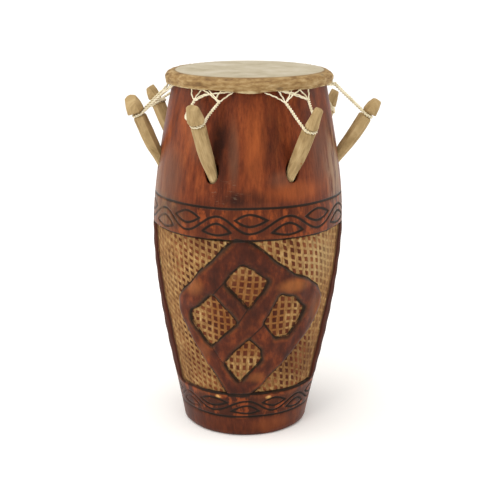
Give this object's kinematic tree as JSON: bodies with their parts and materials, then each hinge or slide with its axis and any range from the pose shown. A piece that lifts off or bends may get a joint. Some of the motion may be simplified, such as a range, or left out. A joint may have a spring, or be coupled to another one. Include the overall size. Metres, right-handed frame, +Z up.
{
  "type": "peg drum",
  "caption": "Barrel-shaped wooden hand drum with a laced rawhide head, slanting tuning pegs, carved wave bands and sunk crosshatched panels.",
  "frame": {"origin": "on the floor, below the middle of the overall box of the drum and its pegs; the middle of the head is 5.4 mm towards -X from it", "axes": "+Z up along the drum towards its head, -Y towards the carved panel that the picture shows, +X to the right of someone who looks at that panel"},
  "size_m": [0.3959, 0.3601, 0.58],
  "materials": {
    "red_hardwood": "worn reddish brown stain, hand carved",
    "rawhide": "dry, scraped, mottled at its rolled collar",
    "pale_hardwood": "bare, whittled",
    "cotton_cord": "twisted two-ply cord, unbleached"
  },
  "bodies": {
    "root": {"shell": "red_hardwood", "hide_head": "rawhide", "peg_1": "pale_hardwood", "peg_2": "pale_hardwood", "peg_3": "pale_hardwood", "peg_4": "pale_hardwood", "peg_5": "pale_hardwood", "peg_6": "pale_hardwood", "peg_7": "pale_hardwood", "lacing_1": "cotton_cord", "lacing_2": "cotton_cord", "lacing_3": "cotton_cord", "lacing_4": "cotton_cord", "lacing_5": "cotton_cord", "lacing_6": "cotton_cord", "lacing_7": "cotton_cord"}
  },
  "joints": []
}
